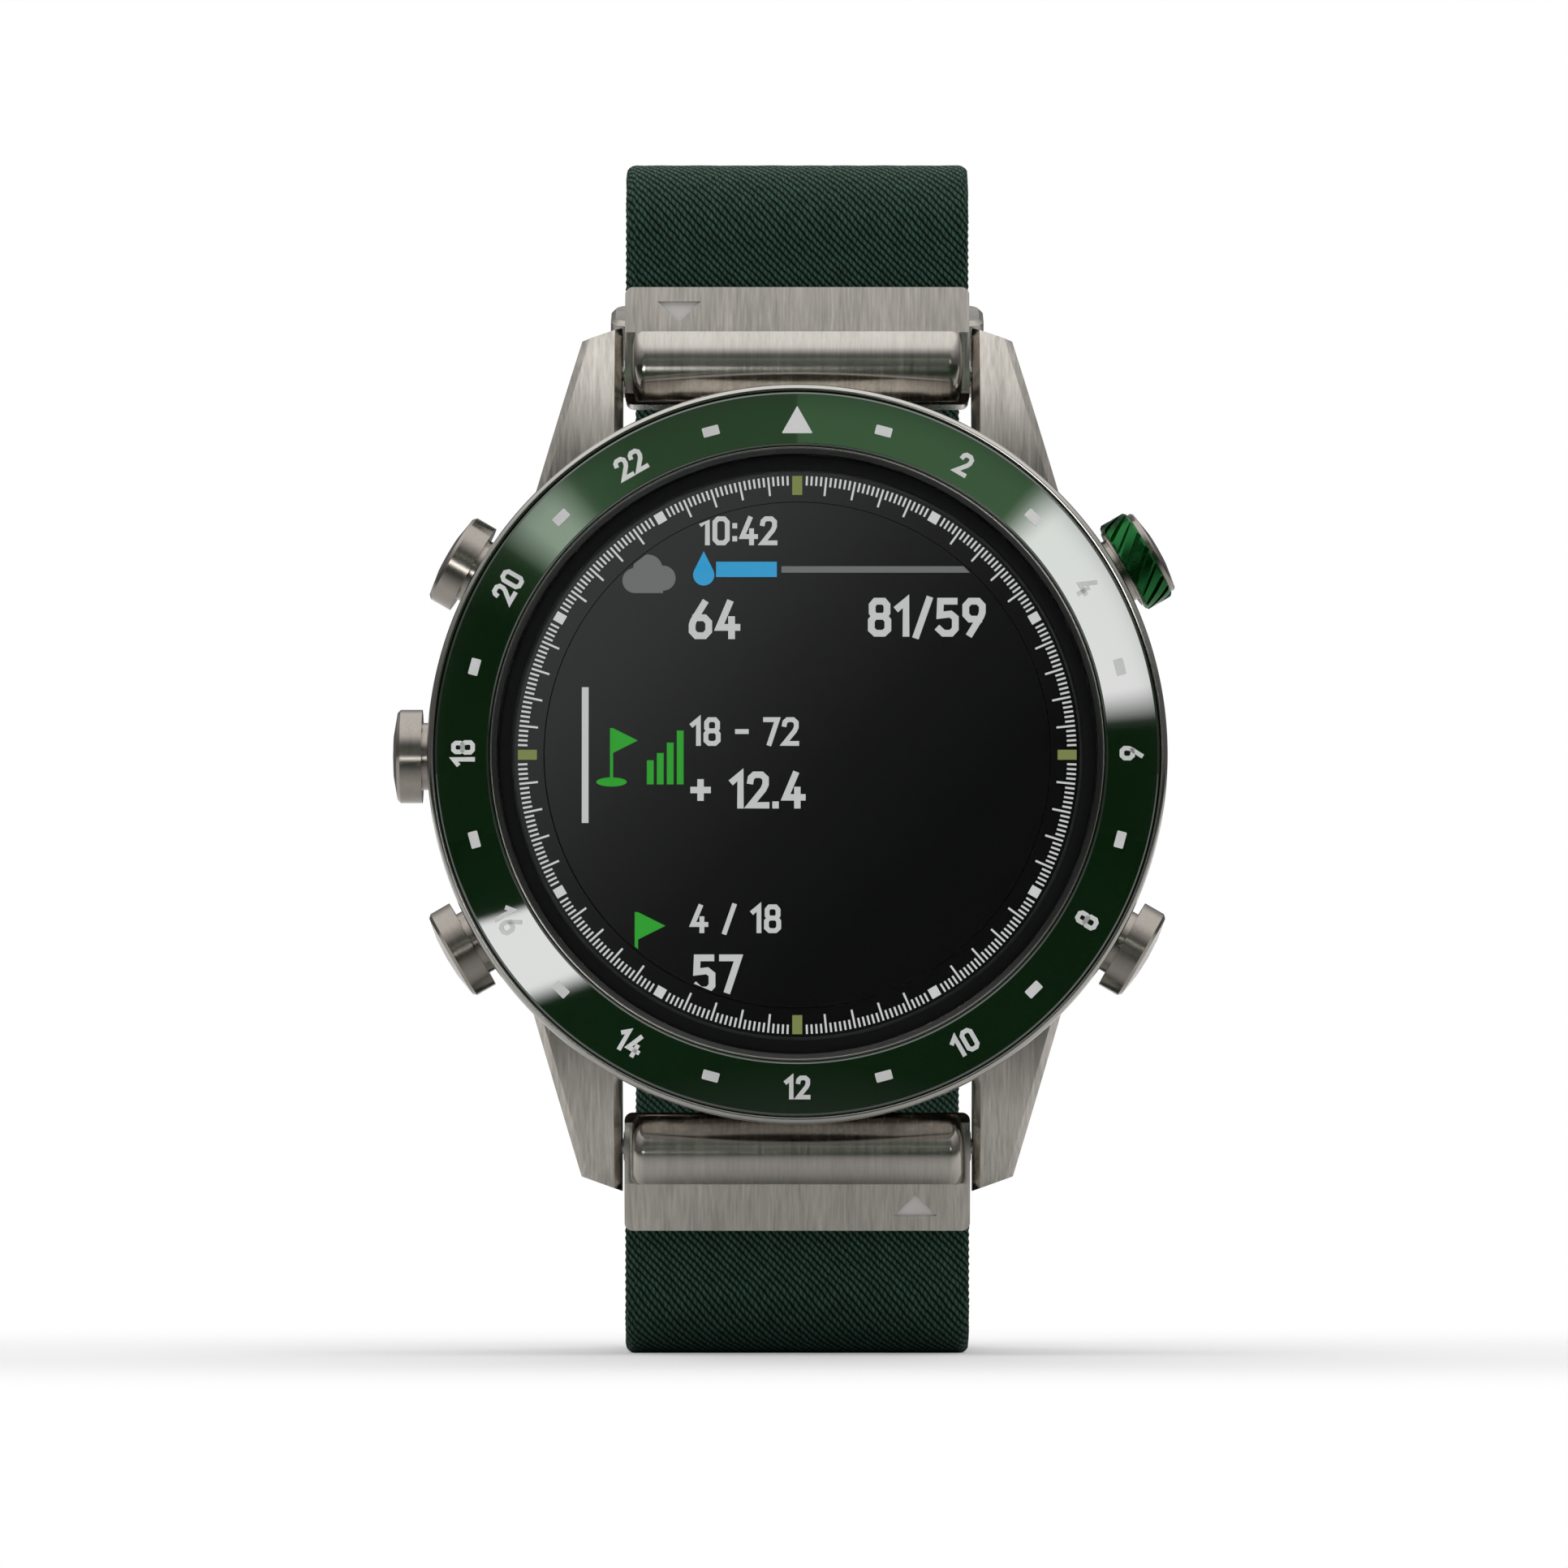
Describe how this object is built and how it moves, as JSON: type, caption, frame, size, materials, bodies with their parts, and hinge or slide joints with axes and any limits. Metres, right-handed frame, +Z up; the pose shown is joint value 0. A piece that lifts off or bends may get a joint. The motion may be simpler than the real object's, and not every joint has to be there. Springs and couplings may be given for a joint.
{
  "type": "golf gps watch",
  "caption": "Round golf watch with a green ceramic bezel, side pushers and a woven strap closed by a tang buckle, standing on its strap.",
  "frame": {"origin": "centre of the strap loop's flat foot, on the centre plane of the watch, at the surface it stands on", "axes": "+Z up through the strap loop, -Y the way the dial faces, +X to the right seen from the front"},
  "size_m": [0.0489, 0.0549, 0.0752],
  "materials": {
    "green_ceramic": "gloss",
    "case_metal": "satin",
    "bezel_metal": "satin",
    "sapphire": "gloss",
    "black_seal": "matte",
    "dial_black": "satin",
    "screen_dark": "gloss",
    "inner_plastic": "matte",
    "antenna_copper": "satin",
    "board_green": "satin",
    "tin_plate": "satin",
    "cell_foil": "satin",
    "steel": "satin",
    "back_metal": "satin",
    "window_dark": "gloss",
    "gold_plate": "polished",
    "green_anodised": "satin",
    "green_weave": "matte",
    "buckle_metal": "satin"
  },
  "bodies": {
    "watch": {"bezel_insert": "green_ceramic", "bezel_ring": "bezel_metal", "crystal": "sapphire", "crystal_gasket": "black_seal", "minute_ring": "dial_black", "screen": "screen_dark", "display_frame": "inner_plastic", "gps_antenna": "antenna_copper", "main_board": "board_green", "shield_can": "tin_plate", "battery": "cell_foil", "vibration_motor": "tin_plate", "beeper": "tin_plate", "side_switches": "tin_plate", "case_body": "case_metal", "pusher_tubes": "steel", "back_gasket": "black_seal", "case_back": "back_metal", "back_screws": "steel", "sensor_window": "window_dark", "sensor_board": "board_green", "sensor_chips": "inner_plastic", "charge_contacts": "gold_plate", "upper_lug_pin": "steel", "lower_lug_pin": "steel", "upper_strap": "green_weave", "lower_strap": "green_weave", "upper_strap_rod": "steel", "lower_strap_rod": "steel", "buckle_bar": "steel"},
    "start_pusher": {"start_pusher_core": "case_metal", "start_pusher_ring": "green_anodised", "start_pusher_spring": "steel"},
    "upper_end": {"upper_end_piece": "case_metal"},
    "lower_end": {"lower_end_piece": "case_metal"},
    "upper_latch": {"upper_latch": "case_metal", "upper_latch_springs": "steel"},
    "lower_latch": {"lower_latch": "case_metal", "lower_latch_springs": "steel"},
    "buckle": {"buckle_frame": "buckle_metal"},
    "tang": {"buckle_tang": "buckle_metal"},
    "keeper": {"keeper_loop": "buckle_metal"},
    "light_pusher": {"light_pusher": "case_metal", "light_pusher_spring": "steel"},
    "up_pusher": {"up_pusher": "case_metal", "up_pusher_spring": "steel"},
    "down_pusher": {"down_pusher": "case_metal", "down_pusher_spring": "steel"},
    "back_pusher": {"back_pusher": "case_metal", "back_pusher_spring": "steel"}
  },
  "joints": [
    {"name": "light_press", "type": "slide", "parent": "watch", "child": "light_pusher", "axis": [0.866, 0, -0.5], "range_m": [0, 0.00035], "stiffness_N_per_m": 600, "springref_m": -0.001},
    {"name": "up_press", "type": "slide", "parent": "watch", "child": "up_pusher", "axis": [1, 0, 0], "range_m": [0, 0.00035], "stiffness_N_per_m": 600, "springref_m": -0.001},
    {"name": "down_press", "type": "slide", "parent": "watch", "child": "down_pusher", "axis": [0.866, 0, 0.5], "range_m": [0, 0.00035], "stiffness_N_per_m": 600, "springref_m": -0.001},
    {"name": "back_press", "type": "slide", "parent": "watch", "child": "back_pusher", "axis": [-0.866, 0, 0.5], "range_m": [0, 0.00035], "stiffness_N_per_m": 600, "springref_m": -0.001},
    {"name": "start_press", "type": "slide", "parent": "watch", "child": "start_pusher", "axis": [-0.866, 0, -0.5], "range_m": [0, 0.00035], "stiffness_N_per_m": 600, "springref_m": -0.001},
    {"name": "upper_end_rock", "type": "hinge", "parent": "watch", "child": "upper_end", "pos_m": [0, -0.0144, 0.0616], "axis": [1, 0, 0], "range_deg": [-2.5, 2.5], "stiffness_Nm_per_rad": 0.02},
    {"name": "upper_latch_slide", "type": "slide", "parent": "upper_end", "child": "upper_latch", "axis": [0, 0, 1], "range_m": [0, 0.0021], "stiffness_N_per_m": 300, "springref_m": -0.001, "deforming": ["upper_latch_springs"]},
    {"name": "lower_end_rock", "type": "hinge", "parent": "watch", "child": "lower_end", "pos_m": [0, -0.0144, 0.013], "axis": [1, 0, 0], "range_deg": [-2.5, 2.5], "stiffness_Nm_per_rad": 0.02},
    {"name": "lower_latch_slide", "type": "slide", "parent": "lower_end", "child": "lower_latch", "axis": [0, 0, -1], "range_m": [0, 0.0021], "stiffness_N_per_m": 300, "springref_m": -0.001, "deforming": ["lower_latch_springs"]},
    {"name": "buckle_swing", "type": "hinge", "parent": "watch", "child": "buckle", "pos_m": [0, 0.0264, 0.0363], "axis": [1, 0, 0], "range_deg": [0, 10]},
    {"name": "tang_swing", "type": "hinge", "parent": "watch", "child": "tang", "pos_m": [0, 0.0264, 0.0363], "axis": [1, 0, 0], "range_deg": [0, 10]},
    {"name": "keeper_slide", "type": "slide", "parent": "watch", "child": "keeper", "axis": [0, -0.2822, 0.9594], "range_m": [-0.003, 0.001]}
  ],
  "couplings": [
    {"joint": "tang_swing", "follows": "buckle_swing", "ratio": 1}
  ]
}
